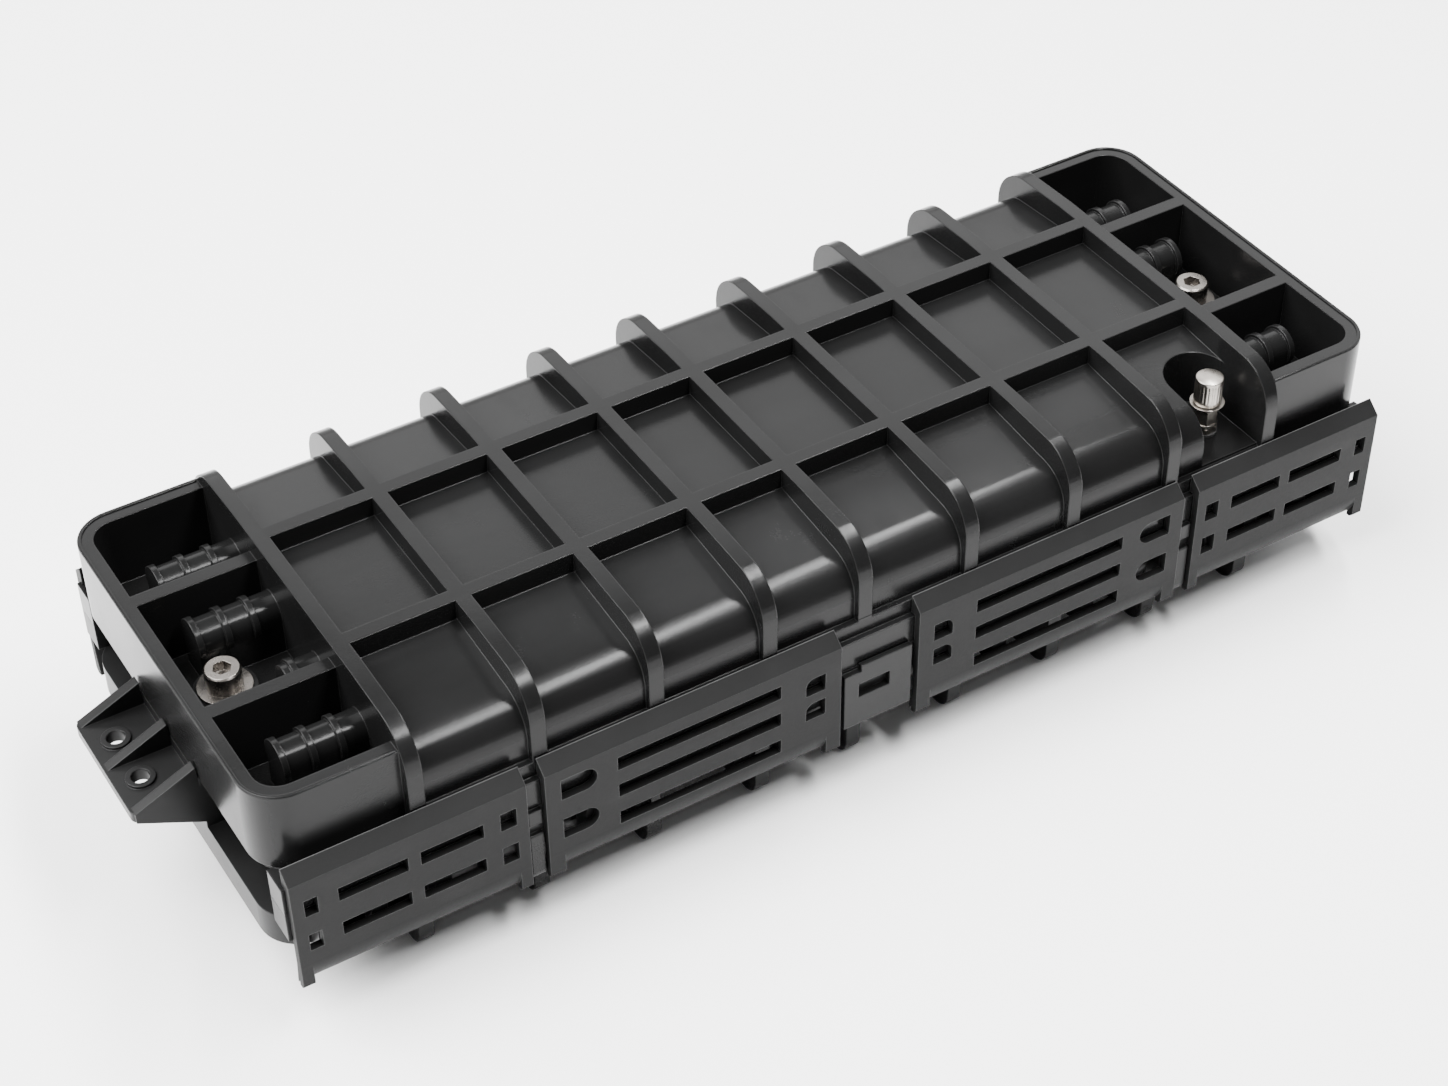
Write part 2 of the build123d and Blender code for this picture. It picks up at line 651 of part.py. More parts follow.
for side, side_name in ((-1, "front"), (1, "back")):
    for number, span in enumerate(latch_spans, start=1):
        middle = (span[0] + span[1]) / 2
        half = (span[1] - span[0]) / 2
        middle_latch = number in (2, 3)
        outward = 1 if middle > 0 else -1
        bar = mid_latch_bar if middle_latch else end_latch_bar
        with BuildPart() as latch:
            with BuildSketch(Plane.YZ.offset(middle)):
                latch_section(side)
            extrude(amount=half, both=True)
            # Room for the hinge lugs of the base
            for place in knuckle_places(span):
                for lug in (place - lug_reach, place + lug_reach):
                    with BuildSketch(Plane.YZ.offset(lug)):
                        with Locations((side * (latch_inside - latch_web), latch_foot_turn / 2)):
                            Rectangle(2 * latch_web, latch_foot_turn)
                    extrude(amount=lug_length / 2 + lug_gap, both=True, mode=Mode.SUBTRACT)
            for place in (span[0] + bar / 2, span[1] - bar / 2):
                with BuildSketch(Plane.YZ.offset(place)):
                    end_bar_section(side)
                extrude(amount=bar / 2, both=True)
            # Windows through the web
            web_plane = Plane.XZ.offset(-side * (latch_face + latch_gap))
            web_cut = side * (latch_web + 2 * latch_gap)
            with BuildSketch(web_plane):
                for x, z, width, tall in window_list(span, middle_latch):
                    with Locations((x, z)):
                        Rectangle(width, tall)
            extrude(amount=web_cut, mode=Mode.SUBTRACT)
            if middle_latch:
                start, stop, tall = outer_hole
                outer_end = middle + outward * half
                for drop in outer_hole_drops:
                    with BuildSketch(web_plane):
                        with Locations((outer_end - outward * (start + stop) / 2, latch_top - drop)):
                            Rectangle(stop - start, tall)
                        with Locations((outer_end - outward * stop, latch_top - drop)):
                            Circle(tall / 2)
                    extrude(amount=web_cut, mode=Mode.SUBTRACT)
                start, stop, tall = inner_hole
                inner_end = middle - outward * half
                for drop in inner_hole_drops:
                    with BuildSketch(web_plane):
                        with Locations((inner_end + outward * (start + stop) / 2, latch_top - drop)):
                            Rectangle(stop - start, tall)
                        upper = vertices().sort_by(Axis.Y)[-2:].sort_by(Axis.X)
                        fillet(upper[-1] if outward > 0 else upper[0], radius=inner_hole_corner)
                    extrude(amount=web_cut, mode=Mode.SUBTRACT)
            # Knuckles on the pin
            for place in knuckle_places(span):
                with BuildSketch(Plane.YZ.offset(place)):
                    with Locations((side * pin_offset, pin_height)):
                        Circle(knuckle_radius)
                    arm = latch_foot_tip + latch_bar_chamfer / 2 - pin_offset
                    with Locations((side * (pin_offset + arm / 2), pin_height)):
                        Rectangle(arm, 2 * knuckle_radius)
                    with Locations((side * pin_offset, pin_height)):
                        Circle(pin_radius + pin_clearance, mode=Mode.SUBTRACT)
                extrude(amount=knuckle_length / 2, both=True)
        save(latch, f"latch_{side_name}_{number}")

# Hinge pins, one through the knuckles of each latch
with BuildPart() as latch_pins:
    for side in (-1, 1):
        for span in latch_spans:
            with BuildSketch(Plane.YZ.offset((span[0] + span[1]) / 2)):
                with Locations((side * pin_offset, pin_height)):
                    Circle(pin_radius)
            extrude(amount=(span[1] - span[0]) / 2 - pin_end_gap, both=True)
save(latch_pins, "latch_pins")

# Bolts, washers and inserts that close the ends
with BuildPart() as cover_bolts:
    bolt_length = boss_top + washer_thickness - parting_height + insert_length - 1.0
    for place in (-bolt_x, bolt_x):
        with BuildSketch(Plane.XY.offset(boss_top + washer_thickness)):
            with Locations((place, 0)):
                Circle(bolt_radius)
        extrude(amount=-bolt_length)
        with BuildSketch(Plane.XY.offset(boss_top + washer_thickness)):
            with Locations((place, 0)):
                Circle(bolt_head_radius)
        extrude(amount=bolt_head_height)
        with BuildSketch(Plane.XY.offset(boss_top + washer_thickness + bolt_head_height)):
            with Locations((place, 0)):
                RegularPolygon(bolt_socket_width / 2, 6, major_radius=False)
        extrude(amount=-bolt_socket_depth, mode=Mode.SUBTRACT)
    rims = edges().filter_by(GeomType.CIRCLE).group_by(Axis.Z)[-1]
    chamfer(rims, length=0.6)
save(cover_bolts, "cover_bolts")

with BuildPart() as bolt_washers:
    with BuildSketch(Plane.XY.offset(boss_top)):
        with Locations((-bolt_x, 0), (bolt_x, 0)):
            Circle(washer_radius)
            Circle(bolt_radius + bolt_clearance, mode=Mode.SUBTRACT)
    extrude(amount=washer_thickness)
save(bolt_washers, "bolt_washers")

with BuildPart() as threaded_inserts:
    with BuildSketch(Plane.XY.offset(parting_height - insert_length)):
        with Locations((-bolt_x, 0), (bolt_x, 0)):
            Circle(insert_radius)
            Circle(bolt_radius, mode=Mode.SUBTRACT)
    extrude(amount=insert_length)
save(threaded_inserts, "threaded_inserts")

# Pressure valve
valve_foot = valve_seat - valve_floor - valve_foot_height
collar_bottom = valve_seat + valve_washer_thickness + valve_nut_height
hex_bottom = collar_bottom + valve_collar_height
flare_bottom = hex_bottom + valve_hex_height
flare_top = flare_bottom + valve_flare_height
thread_top = flare_top + valve_thread_length
with BuildPart() as valve_body:
    with BuildSketch(Plane.XY.offset(valve_foot)):
        with Locations((valve_x, valve_y)):
            Circle(valve_stem_radius)
    extrude(amount=collar_bottom - valve_foot)
    with BuildSketch(Plane.XY.offset(valve_foot)):
        with Locations((valve_x, valve_y)):
            Circle(valve_stem_radius + valve_foot_margin)
    extrude(amount=valve_foot_height)
    with BuildSketch(Plane.XY.offset(collar_bottom)):
        with Locations((valve_x, valve_y)):
            Circle(valve_collar_radius)
    extrude(amount=valve_collar_height)
    with BuildSketch(Plane.XY.offset(hex_bottom)):
        with Locations((valve_x, valve_y)):
            RegularPolygon(valve_hex_width / 2, 6, major_radius=False)
    extrude(amount=valve_hex_height)
    with BuildSketch(Plane.XY.offset(flare_bottom)):
        with Locations((valve_x, valve_y)):
            Circle(valve_hex_width / 2)
    with BuildSketch(Plane.XY.offset(flare_top)):
        with Locations((valve_x, valve_y)):
            Circle(valve_flare_radius)
    loft()
    with BuildSketch(Plane.XY.offset(flare_top)):
        with Locations((valve_x, valve_y)):
            Circle(valve_thread_radius)
    extrude(amount=valve_thread_length)
    with BuildSketch(Plane.XY.offset(thread_top)):
        with Locations((valve_x, valve_y)):
            Circle(valve_bore_radius)
    extrude(amount=-valve_bore_depth, mode=Mode.SUBTRACT)
save(valve_body, "valve_body")

with BuildPart() as valve_core:
    with BuildSketch(Plane.XY.offset(thread_top - valve_bore_depth)):
        with Locations((valve_x, valve_y)):
            Circle(valve_bore_radius)
    extrude(amount=valve_core_length)
    with BuildSketch(Plane.XY.offset(thread_top - valve_bore_depth + valve_core_length)):
        with Locations((valve_x, valve_y)):
            Circle(valve_pin_radius)
    extrude(amount=valve_pin_length)
save(valve_core, "valve_core")

with BuildPart() as valve_washer:
    with BuildSketch(Plane.XY.offset(valve_seat)):
        with Locations((valve_x, valve_y)):
            Circle(valve_washer_radius)
            Circle(valve_stem_radius + valve_fit, mode=Mode.SUBTRACT)
    extrude(amount=valve_washer_thickness)
save(valve_washer, "valve_washer")

with BuildPart() as valve_nut:
    with BuildSketch(Plane.XY.offset(valve_seat + valve_washer_thickness)):
        with Locations((valve_x, valve_y)):
            RegularPolygon(valve_nut_width / 2, 6, major_radius=False)
            Circle(valve_stem_radius, mode=Mode.SUBTRACT)
    extrude(amount=valve_nut_height)
save(valve_nut, "valve_nut")

with BuildPart() as valve_cap:
    with BuildSketch(Plane.XY.offset(flare_top + valve_cap_gap)):
        with Locations((valve_x, valve_y)):
            Circle(valve_cap_radius)
    extrude(amount=valve_cap_height)
    fillet(faces().sort_by(Axis.Z)[-1].edges(), radius=valve_cap_round)
    with BuildSketch(Plane.XY.offset(flare_top + valve_cap_gap)):
        with Locations((valve_x, valve_y)):
            Circle(valve_thread_radius + valve_fit)
    extrude(amount=valve_cap_bore_depth, mode=Mode.SUBTRACT)
save(valve_cap, "valve_cap")

# Plugs that close the unused cable ports
for end, end_name in ((-1, "left"), (1, "right")):
    for side, side_name in ((-1, "front"), (1, "back")):
        with BuildPart() as port_plug:
            with BuildSketch(Plane.YZ.offset(end * (block_half + 1.0))):
                with Locations((side * port_y, parting_height)):
                    Circle(port_radius)
            extrude(amount=end * (neck_end - block_half - 1.0))
            with BuildSketch(Plane.YZ.offset(end * neck_end)):
                with Locations((side * port_y, parting_height)):
                    Circle(port_radius + 1.8)
            extrude(amount=end * 3.0)
        save(port_plug, f"port_plug_{end_name}_{side_name}")

# Tray carrier and its screws
carrier_level = floor_level + standoff_height
with BuildPart() as tray_carrier:
    with BuildSketch(Plane.XY.offset(carrier_level)):
        RectangleRounded(tray_length + carrier_margin, tray_width + carrier_margin, 4.0)
        with standoff_places:
            Circle(tray_screw_radius + 0.2, mode=Mode.SUBTRACT)
        with GridLocations(46.0, 34.0, 3, 2):
            SlotOverall(30.0, 12.0, mode=Mode.SUBTRACT)
    extrude(amount=carrier_thickness)
save(tray_carrier, "tray_carrier")

with BuildPart() as carrier_screws:
    with BuildSketch(Plane.XY.offset(carrier_level + carrier_thickness)):
        with standoff_places:
            Circle(tray_screw_radius)
    extrude(amount=-carrier_thickness - standoff_height + 1.0)
    with BuildSketch(Plane.XY.offset(carrier_level + carrier_thickness)):
        with standoff_places:
            Circle(tray_screw_radius + 1.6)
    extrude(amount=1.6)
save(carrier_screws, "carrier_screws")

# Splice trays with their combs
tray_level = carrier_level + carrier_thickness + 1.9
for number in range(tray_count):
    level = tray_level + number * tray_height
    with BuildPart() as splice_tray:
        with BuildSketch(Plane.XY.offset(level)):
            RectangleRounded(tray_length, tray_width, 20.0)
        extrude(amount=tray_height)
        with BuildSketch(Plane.XY.offset(level + tray_wall)):
            RectangleRounded(tray_length - 2 * tray_wall, tray_width - 2 * tray_wall, 20.0 - tray_wall)
        extrude(amount=tray_height, mode=Mode.SUBTRACT)
        with BuildSketch(Plane.XY.offset(level + tray_wall)):
            with GridLocations(tray_length / 2, 1, 2, 1):
                Circle(22.0)
                Circle(22.0 - tray_wall, mode=Mode.SUBTRACT)
        extrude(amount=tray_height - tray_wall - 2.0)
    save(splice_tray, f"splice_tray_{number + 1}")
    with BuildPart() as splice_comb:
        with BuildSketch(Plane.XY.offset(level + tray_wall)):
            Rectangle(comb_length, comb_width)
        extrude(amount=comb_height)
        with BuildSketch(Plane.XY.offset(level + tray_wall + comb_height)):
            with GridLocations(1, comb_width / comb_slots, 1, comb_slots):
                Rectangle(comb_length, 1.6)
        extrude(amount=-3.0, mode=Mode.SUBTRACT)
    save(splice_comb, f"splice_comb_{number + 1}")

lid_level = tray_level + tray_count * tray_height
with BuildPart() as tray_lid:
    with BuildSketch(Plane.XY.offset(lid_level)):
        RectangleRounded(tray_length, tray_width, 20.0)
    extrude(amount=lid_thickness)
save(tray_lid, "tray_lid")

# Strap that holds the stack of trays down on the carrier
with BuildPart() as tray_strap:
    strap_bottom = carrier_level + carrier_thickness
    strap_top = lid_level + lid_thickness
    strap_half = tray_width / 2
    with BuildSketch(Plane.YZ):
        with Locations((0, (strap_bottom + strap_top + strap_thickness) / 2)):
            Rectangle(2 * (strap_half + strap_thickness), strap_top + strap_thickness - strap_bottom)
        with Locations((0, (strap_bottom + strap_top) / 2 - 1.0)):
            Rectangle(2 * strap_half, strap_top - strap_bottom + 2.0, mode=Mode.SUBTRACT)
    extrude(amount=strap_width / 2, both=True)
save(tray_strap, "tray_strap")

# Clamps that grip the cables inside the ports
for end, end_name in ((-1, "left"), (1, "right")):
    for side, side_name in ((-1, "front"), (1, "back")):
        with BuildPart() as cable_clamp:
            with BuildSketch(Plane.YZ.offset(end * clamp_x)):
                with Locations((side * port_y, clamp_pad_top + clamp_inner_radius)):
                    Circle(clamp_inner_radius + clamp_thickness)
                    Circle(clamp_inner_radius, mode=Mode.SUBTRACT)
                with Locations((side * port_y, clamp_pad_top + clamp_inner_radius / 2)):
                    Rectangle(2 * (clamp_inner_radius + clamp_thickness), clamp_inner_radius)
                    Rectangle(2 * clamp_inner_radius, clamp_inner_radius, mode=Mode.SUBTRACT)
                with Locations((side * port_y, clamp_pad_top + clamp_thickness / 2)):
                    Rectangle(2 * clamp_pad_half, clamp_thickness)
                    Rectangle(2 * clamp_inner_radius, clamp_thickness, mode=Mode.SUBTRACT)
                with Locations((side * port_y, clamp_pad_top - clamp_inner_radius)):
                    Rectangle(4 * clamp_inner_radius, 2 * clamp_inner_radius, mode=Mode.SUBTRACT)
            extrude(amount=clamp_width / 2, both=True)
            with BuildSketch(Plane.XY.offset(clamp_pad_top)):
                with Locations((end * clamp_x, side * port_y + clamp_screw_offset),
                               (end * clamp_x, side * port_y - clamp_screw_offset)):
                    Circle(clamp_screw_radius + 0.2)
            extrude(amount=clamp_thickness, mode=Mode.SUBTRACT)
        save(cable_clamp, f"cable_clamp_{end_name}_{side_name}")

with BuildPart() as clamp_screws:
    with BuildSketch(Plane.XY.offset(clamp_pad_top + clamp_thickness)):
        with GridLocations(2 * clamp_x, port_spacing, 2, 2):
            with Locations((0, clamp_screw_offset), (0, -clamp_screw_offset)):
                Circle(clamp_screw_radius)
    extrude(amount=-clamp_thickness - clamp_screw_length + 1.0)
    with BuildSketch(Plane.XY.offset(clamp_pad_top + clamp_thickness)):
        with GridLocations(2 * clamp_x, port_spacing, 2, 2):
            with Locations((0, clamp_screw_offset), (0, -clamp_screw_offset)):
                Circle(clamp_screw_radius + 1.5)
    extrude(amount=1.8)
save(clamp_screws, "clamp_screws")

# Posts that hold the cables' strength members
with BuildPart() as strength_anchors:
    with BuildSketch(Plane.XY.offset(anchor_level)):
        with GridLocations(2 * anchor_x, port_spacing, 2, 2):
            Circle(anchor_radius)
    extrude(amount=anchor_height)
    with BuildSketch(Plane.YZ.offset(-anchor_x - 2 * anchor_radius)):
        with Locations((port_y, anchor_level + anchor_height / 2),
                       (-port_y, anchor_level + anchor_height / 2)):
            Circle(anchor_bore)
    extrude(amount=2 * anchor_x + 4 * anchor_radius, mode=Mode.SUBTRACT)
save(strength_anchors, "strength_anchors")
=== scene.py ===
# %% [markdown]
# # A ribbed splice closure in black moulded plastic
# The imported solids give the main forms: the cover with its grid of ribs, the base with its ears,
# the eight side latches, the bolts and the valve. This lesson dresses them. It sets a camera and
# soft studio light, writes one finish for each real material, fills out the cover's shoulders, and
# models what a turned or moulded part shows up close: a knurl, a thread, rim beads and the rings
# of the rubber plugs.

# %% Load the frame
import math
import bmesh
import bpy
from mathutils import Matrix, Vector


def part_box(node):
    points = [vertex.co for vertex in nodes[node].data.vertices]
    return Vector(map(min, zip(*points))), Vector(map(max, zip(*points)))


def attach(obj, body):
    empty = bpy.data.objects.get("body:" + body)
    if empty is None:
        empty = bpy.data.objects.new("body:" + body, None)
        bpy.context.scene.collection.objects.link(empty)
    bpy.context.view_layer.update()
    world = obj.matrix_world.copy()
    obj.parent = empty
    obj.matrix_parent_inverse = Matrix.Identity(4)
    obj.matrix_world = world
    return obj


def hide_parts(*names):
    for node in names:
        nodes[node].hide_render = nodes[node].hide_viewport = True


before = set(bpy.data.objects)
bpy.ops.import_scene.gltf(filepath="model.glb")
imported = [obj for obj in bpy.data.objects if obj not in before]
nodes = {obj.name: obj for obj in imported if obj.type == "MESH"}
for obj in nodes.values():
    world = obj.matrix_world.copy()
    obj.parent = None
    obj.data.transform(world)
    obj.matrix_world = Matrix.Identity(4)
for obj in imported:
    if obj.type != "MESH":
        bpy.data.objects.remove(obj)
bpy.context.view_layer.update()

MM = 0.001

# %% [markdown]
# ## Camera
# The photograph looks down at 41 degrees from the front left, through a lens of 70 mm on a 36 mm
# frame. The place and turn come from the crossings of the rib grid, so the camera is set by
# numbers. A tracking constraint would be quicker to write, but it can't hold the photograph's
# slight roll.

# %% Camera
camera_place = (-0.41617, -0.67931, 0.73798)
camera_turn = (48.922, 0.624, -31.460)
camera_data = bpy.data.cameras.new("photo_camera")
camera_data.lens = 70.0
camera_data.sensor_width = 36.0
camera_data.clip_start = 0.05
camera = bpy.data.objects.new("photo_camera", camera_data)
camera.location = camera_place
camera.rotation_euler = [math.radians(angle) for angle in camera_turn]
bpy.context.scene.collection.objects.link(camera)
bpy.context.scene.camera = camera
print("camera", [round(value, 3) for value in camera.location])

# %% [markdown]
# ## Light
# Black plastic is drawn by what it mirrors. The strongest soft box stands high at the left, where
# no flat face mirrors it, and lights the sheet. A wide dim one stands at the back right, where the
# crown mirrors it. A low one behind greys the back slopes, which mirror the horizon, and a narrow
# strip overhead draws the streak along the rolled shoulder. The latches face away from them all,
# so they stay the darkest.


# %% Soft boxes
def soft_box(name, place, aim, size, power):
    """An oblong soft box at place that faces aim."""
    data = bpy.data.lights.new(name, "AREA")
    data.shape = "RECTANGLE"
    data.size, data.size_y = size
    data.energy = power
    lamp = bpy.data.objects.new(name, data)
    lamp.location = place
    lamp.rotation_euler = (Vector(aim) - Vector(place)).to_track_quat("-Z", "Y").to_euler()
    bpy.context.scene.collection.objects.link(lamp)


soft_box("box_over", (-1.25, 0.40, 1.90), (0.0, 0.0, 0.0), (2.2, 2.0), 270.0)
soft_box("box_sky", (0.92, 1.50, 1.28), (0.0, 0.0, 0.05), (3.0, 1.0), 32.0)
soft_box("strip_over", (0.47, -0.20, 1.42), (0.0, 0.0, 0.08), (1.6, 0.14), 66.0)
soft_box("box_behind", (0.80, 1.90, 0.34), (0.0, 0.0, 0.08), (4.0, 0.6), 10.0)

# %% [markdown]
# The rest of the studio is white and dim. It is the world's background, so it reaches every side.

# %% World
world_strength = 0.26
world = bpy.data.worlds.new("studio")
bpy.context.scene.world = world
world.use_nodes = True
background = world.node_tree.nodes["Background"]
background.inputs["Color"].default_value = (1.0, 1.0, 1.0, 1.0)
background.inputs["Strength"].default_value = world_strength
print("world strength", world_strength)

# %% [markdown]
# ## Shader sums
# A finish is a sum of masks, and a sum reads best as a sum. This small class wraps a socket so
# that `grain * 0.1 + 0.3` adds the Math nodes by itself. One method makes every other kind of
# node. Writing each node and link by hand gives the same tree in three times as many lines.


# %% Socket wrapper
class Wire:
    """One shader socket. A sum on it adds Math nodes to the material that is being made."""

    tree = None

    def __init__(self, socket):
        self.socket = socket

    @classmethod
    def node(cls, kind, settings=None, inputs=None, out=0):
        """Any node: its type, its settings, which are set first, and its values or links."""
        made = cls.tree.nodes.new(kind)
        for key, value in (settings or {}).items():
            setattr(made, key, value)
        for key, value in (inputs or {}).items():
            if isinstance(value, Wire):
                cls.tree.links.new(value.socket, made.inputs[key])
            else:
                made.inputs[key].default_value = value
        return cls(made.outputs[out]) if made.outputs else None

    @classmethod
    def math(cls, operation, first, second):
        return cls.node("ShaderNodeMath", {"operation": operation}, {0: first, 1: second})

    def __add__(self, other):
        return Wire.math("ADD", self, other)

    __radd__ = __add__

    def __sub__(self, other):
        return Wire.math("SUBTRACT", self, other)

    def __rsub__(self, other):
        return Wire.math("SUBTRACT", other, self)

    def __mul__(self, other):
        return Wire.math("MULTIPLY", self, other)

    __rmul__ = __mul__


print("socket wrapper ready")

# %% [markdown]
# ## Patterns that every finish shares
# Moulded and turned parts differ in scale, not in kind: a cloudy drift over centimetres, a fine
# grain under a millimetre, and edges that are a little round and worn. Noise on Object coordinates
# gives the first two at their real size in metres. The Bevel node gives the third: the angle
# between the rounded normal and the flat one is large only near an edge, so it is also the mask
# for wear, and on the latches for a painted highlight line.


# %% Noise on Object coordinates
def place():
    """Object coordinates, in metres."""
    return Wire.node("ShaderNodeTexCoord", out="Object")


def stretched(scale):
    """Object coordinates stretched by three factors."""
    return Wire.node("ShaderNodeMapping", None, {"Vector": place(), "Scale": scale})


def noise(vector, scale, detail=3.0, roughness=0.5):
    """Cloudy noise between 0 and 1."""
    return Wire.node("ShaderNodeTexNoise", None,
                     {"Vector": vector, "Scale": scale, "Detail": detail, "Roughness": roughness})


def ramp(value, low, high):
    """0 below low and 1 above high, with a straight rise between."""
    return Wire.node("ShaderNodeMapRange", {"clamp": True},
                     {"Value": value, "From Min": low, "From Max": high})


print("noise ready")


# %% Edges, colours and relief
def rounded(radius):
    """The normal of the same surface with its edges rounded."""
    return Wire.node("ShaderNodeBevel", {"samples": 6}, {"Radius": radius})


def edge_mask(round_normal, strength):
    """1 along edges, 0 on flats."""
    flat = Wire.node("ShaderNodeNewGeometry", out="Normal")
    same = Wire.node("ShaderNodeVectorMath", {"operation": "DOT_PRODUCT"},
                     {0: round_normal, 1: flat}, out="Value")
    return ramp((1.0 - same) * strength, 0.02, 1.0)


def mixed(mask, dark, light):
    """Colour between two shades, by mask."""
    return Wire.node("ShaderNodeMix", {"data_type": "RGBA"},
                     {"Factor": mask, "A": dark, "B": light}, out="Result")


def bumped(height, strength, distance, normal):
    """The normal tilted by a relief."""
    return Wire.node("ShaderNodeBump", None, {"Height": height, "Strength": strength,
                                              "Distance": distance, "Normal": normal})


def shade(value, warmth=0.0):
    """A near-neutral colour from one value."""
    return (value * (1.0 + warmth), value, value * (1.0 - warmth), 1.0)


print("patterns ready")

# %% [markdown]
# ## One material at a time
# A material starts with an empty tree and ends with one Principled shader. What is the same all
# over the surface is a number on the shader's own socket. What changes over the surface is a link.


# %% Material starter and finisher
def begin(name):
    """A new material, whose tree takes the nodes that follow."""
    material = bpy.data.materials.new(name)
    material.use_nodes = True
    material.node_tree.nodes.clear()
    Wire.tree = material.node_tree
    return material


def finish(name, constants, links):
    """Closes the tree that Wire.tree points at with a Principled shader."""
    shader = Wire.node("ShaderNodeBsdfPrincipled", None, {**constants, **links})
    Wire.node("ShaderNodeOutputMaterial", None, {"Surface": shader})
    print("material", name, "with", len(Wire.tree.nodes), "nodes")


# %% [markdown]
# ## Black housing plastic
# The cover and the base are glass-filled polymer: nearly black, satin, with a faint flow pattern
# along the mould and a fine grain that breaks up the reflections. The edges are rounded by about
# half a millimetre and catch a thin line of light. Handling polishes some patches and scuffs
# others. One function makes both, because the base is only a little duller.


# %% Black housing plastic
def moulded_black(name, base, gloss, edge_radius):
    """Satin black with flow marks, fine grain, scuffs and paler edges."""
    material = begin(name)
    flow = noise(stretched((6.0, 22.0, 22.0)), 1.0, 4.0)
    grain = noise(place(), 1500.0, 2.0)
    peel = noise(place(), 240.0, 2.0)
    scuffs = ramp(noise(stretched((90.0, 40.0, 40.0)), 1.0, 4.0, 0.6), 0.55, 0.85)
    soft_edge = rounded(edge_radius)
    edge_band = edge_mask(soft_edge, 3.0)
    colour = mixed(ramp(flow, 0.35, 0.70), shade(base * 0.8), shade(base * 1.25, -0.01))
    finish(name, {"IOR": 1.5, "Specular IOR Level": 0.13}, {
        "Base Color": mixed(edge_band * 0.8, colour, shade(base * 4.0)),
        "Roughness": gloss + (flow - 0.5) * 0.16 + scuffs * 0.08 + (grain - 0.5) * 0.08,
        "Normal": bumped(grain * 0.5 + peel, 0.12, 0.0002, soft_edge)})
    return material


cover_plastic = moulded_black("cover_plastic", 0.006, 0.22, 0.0007)
base_plastic = moulded_black("base_plastic", 0.007, 0.30, 0.0006)

# %% [markdown]
# ## Matt latch plastic
# The latches are softer nylon with an eroded, leather-fine texture, and look charcoal rather than
# black. A second, finer noise gives the texture, and small polished spots show where fingers pull.
# A pale grey line is painted into the colour along every edge as a painted highlight.

# %% Matt latch plastic
latch_plastic = begin("latch_plastic")
drift = noise(place(), 30.0, 4.0)
texture = noise(place(), 900.0, 4.0, 0.65)
soft_edge = rounded(0.0005)
edge_band = edge_mask(soft_edge, 3.0)
polish = ramp(noise(stretched((25.0, 25.0, 70.0)), 1.0, 3.0), 0.58, 0.74)
charcoal = mixed(drift, shade(0.006), shade(0.009, -0.01))
finish("latch_plastic", {"IOR": 1.5, "Specular IOR Level": 0.10}, {
    # Base colour: charcoal, with a painted highlight of 0.10 grey along every edge.
    "Base Color": mixed(edge_band * 0.9, charcoal, shade(0.10)),
    "Roughness": 0.52 + (texture - 0.5) * 0.18 - polish * 0.08,
    "Normal": bumped(texture, 0.20, 0.0002, soft_edge)})

# %% [markdown]
# ## Turned and plated metal
# The valve is turned brass under warm nickel, the bolts and washers are plain steel that has gone
# dull. A lathe leaves rings, so a wave around the tool's axis lifts the surface and lengthens the
# highlight. The same function makes the brass of the inserts with another colour.


# %% Metals
def metal(name, colour, rough, ring_scale, centre):
    """Turned metal with rings about an upright axis through the centre."""
    material = begin(name)
    centred = Wire.node("ShaderNodeMapping", None, {"Vector": place(), "Location": centre})
    rings = Wire.node("ShaderNodeTexWave", {"wave_type": "RINGS", "rings_direction": "Z"},
                      {"Vector": centred, "Scale": ring_scale, "Distortion": 0.4, "Detail": 1.0},
                      out="Fac")
    handling = noise(place(), 180.0, 5.0, 0.6)
    soft_edge = rounded(0.0003)
    edge_band = edge_mask(soft_edge, 2.0)
    dull = tuple(channel * 0.72 for channel in colour[:3]) + (1.0,)
    finish(name, {"Metallic": 1.0}, {
        "Base Color": mixed(ramp(handling, 0.30, 0.62), dull, colour),
        "Roughness": rough + (handling - 0.5) * 0.16 - edge_band * 0.05,
        "Normal": bumped(rings, 0.05, 0.0001, soft_edge)})
    return material


valve_low, valve_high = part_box("valve_body")
valve_axis = (valve_low + valve_high) / 2
nickel = metal("nickel", (0.36, 0.335, 0.305, 1.0), 0.29, 900.0,
               (-valve_axis.x, -valve_axis.y, 0.0))
steel = metal("steel", (0.22, 0.205, 0.19, 1.0), 0.27, 500.0, (0.0, 0.0, 0.0))
brass = metal("brass", (0.75, 0.55, 0.25, 1.0), 0.28, 700.0, (0.0, 0.0, 0.0))

# %% [markdown]
# ## Rubber, trays, lid, combs and strap
# Inside lie pale splice trays under a smoky sheet, blue sleeve combs and a woven strap, with black
# rubber at every seal. They are hidden at rest, but each has the grain of what it is made of.


# %% Rubber and inner plastics
def plain_grain(name, colours, rough, grain_scale, strength, constants=None):
    """A plain material with one fine grain and a slow drift of colour."""
    material = begin(name)
    grain = noise(place(), grain_scale, 3.0)
    drift = noise(place(), grain_scale / 18.0, 3.0)
    finish(name, {"IOR": 1.5, **(constants or {})}, {
        "Base Color": mixed(drift, colours[0], colours[1]),
        "Roughness": rough + (grain - 0.5) * 0.16,
        "Normal": bumped(grain, strength, 0.0002, rounded(0.0004))})
    return material


rubber = plain_grain("rubber", (shade(0.014), shade(0.026)), 0.68, 1100.0, 0.30)
tray_plastic = plain_grain("tray_plastic", (shade(0.62, 0.02), shade(0.70, 0.03)),
                           0.42, 700.0, 0.08)
lid_plastic = plain_grain("lid_plastic", (shade(0.30, 0.01), shade(0.36, 0.02)),
                          0.18, 400.0, 0.04, {"Transmission Weight": 0.5})
comb_plastic = plain_grain("comb_plastic", ((0.10, 0.22, 0.42, 1.0), (0.13, 0.27, 0.50, 1.0)),
                           0.45, 600.0, 0.08)

